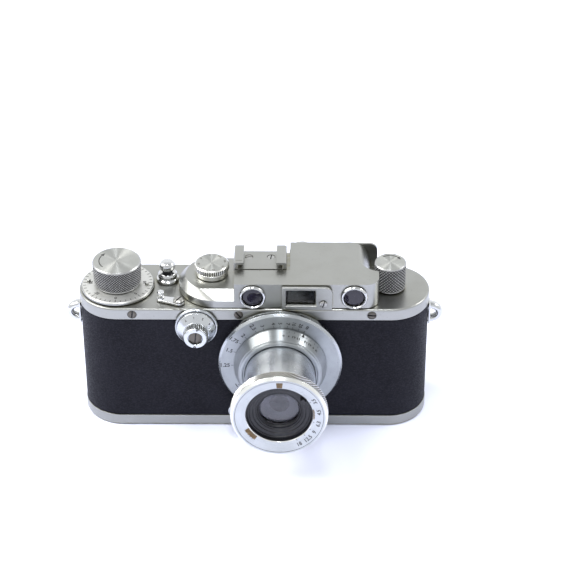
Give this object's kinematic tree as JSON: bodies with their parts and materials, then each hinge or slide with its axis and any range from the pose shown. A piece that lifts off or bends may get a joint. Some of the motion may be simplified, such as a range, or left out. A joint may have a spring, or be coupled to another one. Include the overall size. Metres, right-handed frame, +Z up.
{
  "type": "rangefinder camera",
  "caption": "Compact 35 mm rangefinder camera with a collapsible lens, knurled controls, a finder housing with an accessory shoe, and a removable base plate.",
  "frame": {"origin": "centre of the base plate's bottom face", "axes": "+X along the camera, to the right as it is seen from the front; -Y the way the lens looks; +Z up"},
  "size_m": [0.1436, 0.0676, 0.0688],
  "materials": {
    "satin_chrome": "satin chrome plate on brass, lightly worn, turned tops on the knobs",
    "polished_chrome": "polished chrome",
    "lens_chrome": "fine-turned nickel-chrome",
    "covering": "black vulcanite with a fine grain",
    "black_metal": "black lacquer on brass",
    "dark_screw": "darkened steel",
    "steel": "turned steel",
    "brass": "turned brass",
    "alloy": "cast and machined light alloy",
    "curtain_cloth": "rubberised black cloth",
    "dark_glass": "polished glass in front of a dark inside",
    "lens_glass": "polished uncoated glass"
  },
  "bodies": {
    "camera_body": {"body_shell": "alloy", "body_covering": "covering", "chassis": "alloy", "top_plate": "satin_chrome", "finder_housing": "satin_chrome", "accessory_shoe": "satin_chrome", "release_collar": "polished_chrome", "reversing_lever_screw": "steel", "slow_dial_base": "polished_chrome", "first_curtain": "curtain_cloth", "second_curtain": "curtain_cloth", "pressure_plate": "black_metal", "lens_mount_ring": "lens_chrome", "distance_flange": "lens_chrome", "window_bezel_left": "polished_chrome", "window_bezel_right": "polished_chrome", "window_glass_left": "dark_glass", "window_glass_right": "dark_glass", "viewfinder_frame": "polished_chrome", "viewfinder_glass": "dark_glass", "viewfinder_screw": "steel", "viewfinder_eyepiece": "polished_chrome", "rangefinder_eyepiece": "polished_chrome", "strap_lug_left": "polished_chrome", "strap_lug_right": "polished_chrome", "rim_screw_1": "dark_screw", "rim_screw_2": "dark_screw", "rim_screw_3": "dark_screw", "rim_screw_4": "dark_screw", "rim_screw_5": "dark_screw"},
    "base": {"base_plate": "satin_chrome", "tripod_bush": "steel"},
    "lock_disc": {"lock_disc": "polished_chrome"},
    "lock_key": {"lock_key": "polished_chrome"},
    "wind": {"wind_knob": "satin_chrome", "wind_shaft": "steel"},
    "counter_dial": {"counter_dial": "satin_chrome"},
    "take_up_spool": {"take_up_spool": "black_metal"},
    "sprocket": {"sprocket_shaft": "steel"},
    "rewind_shaft": {"rewind_shaft": "steel"},
    "rewind_knob": {"rewind_knob": "satin_chrome"},
    "release_button": {"release_button": "polished_chrome"},
    "reversing_lever": {"reversing_lever": "polished_chrome"},
    "shutter_drum": {"shutter_drum": "steel"},
    "speed_dial": {"speed_dial": "satin_chrome"},
    "curtain_roller": {"curtain_roller": "steel"},
    "slow_dial": {"slow_speed_dial": "polished_chrome", "slow_speed_screw": "dark_screw"},
    "helicoid_sleeve": {"helicoid_sleeve": "brass"},
    "focus_ring": {"focus_ring": "lens_chrome"},
    "infinity_lock_button": {"infinity_lock_button": "polished_chrome"},
    "lens_tube": {"lens_tube": "lens_chrome", "lens_head": "lens_chrome", "lens_barrel": "black_metal", "iris": "black_metal", "front_element": "lens_glass", "rear_element": "lens_glass"},
    "aperture_ring": {"aperture_ring": "black_metal"},
    "rangefinder_arm": {"rangefinder_arm": "steel"},
    "diopter_lever": {"diopter_lever": "polished_chrome"}
  },
  "joints": [
    {"name": "base_plate_slide", "type": "slide", "parent": "camera_body", "child": "base", "axis": [0, 0, -1], "range_m": [0, 0.015]},
    {"name": "lock_turn", "type": "hinge", "parent": "base", "child": "lock_disc", "pos_m": [0.0514, 0, 0], "axis": [0, 0, -1], "range_deg": [0, 180]},
    {"name": "lock_key_fold", "type": "hinge", "parent": "lock_disc", "child": "lock_key", "pos_m": [0.0514, 0.0022, 0.001], "axis": [1, 0, 0], "range_deg": [0, 90]},
    {"name": "wind_turn", "type": "hinge", "parent": "camera_body", "child": "wind", "pos_m": [-0.0518, 0, 0], "axis": [0, 0, -1], "continuous": true},
    {"name": "counter_turn", "type": "hinge", "parent": "camera_body", "child": "counter_dial", "pos_m": [-0.0518, 0, 0], "axis": [0, 0, -1], "continuous": true},
    {"name": "take_up_turn", "type": "hinge", "parent": "camera_body", "child": "take_up_spool", "pos_m": [-0.0518, 0, 0], "axis": [0, 0, -1], "continuous": true},
    {"name": "sprocket_turn", "type": "hinge", "parent": "camera_body", "child": "sprocket", "pos_m": [-0.0331, 0.0045, 0], "axis": [0, 0, -1], "continuous": true},
    {"name": "rewind_turn", "type": "hinge", "parent": "camera_body", "child": "rewind_shaft", "pos_m": [0.0514, 0, 0], "axis": [0, 0, 1], "continuous": true},
    {"name": "rewind_knob_lift", "type": "slide", "parent": "rewind_shaft", "child": "rewind_knob", "axis": [0, 0, 1], "range_m": [0, 0.005]},
    {"name": "release_press", "type": "slide", "parent": "camera_body", "child": "release_button", "axis": [0, 0, -1], "range_m": [0, 0.0015], "stiffness_N_per_m": 300},
    {"name": "reversing_lever_turn", "type": "hinge", "parent": "camera_body", "child": "reversing_lever", "pos_m": [-0.028, -0.0114, 0], "axis": [0, 0, -1], "range_deg": [0, 40]},
    {"name": "shutter_turn", "type": "hinge", "parent": "camera_body", "child": "shutter_drum", "pos_m": [-0.0159, 0, 0], "axis": [0, 0, 1], "continuous": true},
    {"name": "speed_dial_lift", "type": "slide", "parent": "shutter_drum", "child": "speed_dial", "axis": [0, 0, 1], "range_m": [0, 0.0015], "stiffness_N_per_m": 300},
    {"name": "curtain_roller_turn", "type": "hinge", "parent": "camera_body", "child": "curtain_roller", "pos_m": [0.033, 0, 0], "axis": [0, 0, 1], "continuous": true},
    {"name": "slow_dial_turn", "type": "hinge", "parent": "camera_body", "child": "slow_dial", "pos_m": [-0.0215, 0, 0.0476], "axis": [0, -1, 0], "range_deg": [0, 250]},
    {"name": "focus_slide", "type": "slide", "parent": "camera_body", "child": "helicoid_sleeve", "axis": [0, -1, 0], "range_m": [0, 0.0027]},
    {"name": "focus_turn", "type": "hinge", "parent": "helicoid_sleeve", "child": "focus_ring", "pos_m": [0.01, 0, 0.032], "axis": [0, -1, 0], "range_deg": [0, 175]},
    {"name": "infinity_lock_press", "type": "slide", "parent": "focus_ring", "child": "infinity_lock_button", "axis": [0, 1, 0], "range_m": [0, 0.0012], "stiffness_N_per_m": 300},
    {"name": "lens_collapse", "type": "slide", "parent": "focus_ring", "child": "lens_tube", "axis": [0, 1, 0], "range_m": [0, 0.0195]},
    {"name": "aperture_turn", "type": "hinge", "parent": "lens_tube", "child": "aperture_ring", "pos_m": [0.01, 0, 0.032], "axis": [0, 1, 0], "range_deg": [0, 95]},
    {"name": "rangefinder_follow", "type": "hinge", "parent": "camera_body", "child": "rangefinder_arm", "pos_m": [0.026, -0.004, 0], "axis": [0, 0, 1], "range_deg": [0, 9.7]},
    {"name": "diopter_turn", "type": "hinge", "parent": "camera_body", "child": "diopter_lever", "pos_m": [0.036, 0, 0.0601], "axis": [0, -1, 0], "range_deg": [0, 60]}
  ],
  "couplings": [
    {"joint": "counter_turn", "follows": "wind_turn", "ratio": 0.025},
    {"joint": "take_up_turn", "follows": "wind_turn", "ratio": 1},
    {"joint": "sprocket_turn", "follows": "wind_turn", "ratio": -1},
    {"joint": "curtain_roller_turn", "follows": "shutter_turn", "ratio": 2.5333},
    {"joint": "focus_slide", "follows": "focus_turn", "m_per_rad": 0.00086762},
    {"joint": "rangefinder_follow", "follows": "focus_turn", "ratio": 0.054857}
  ]
}
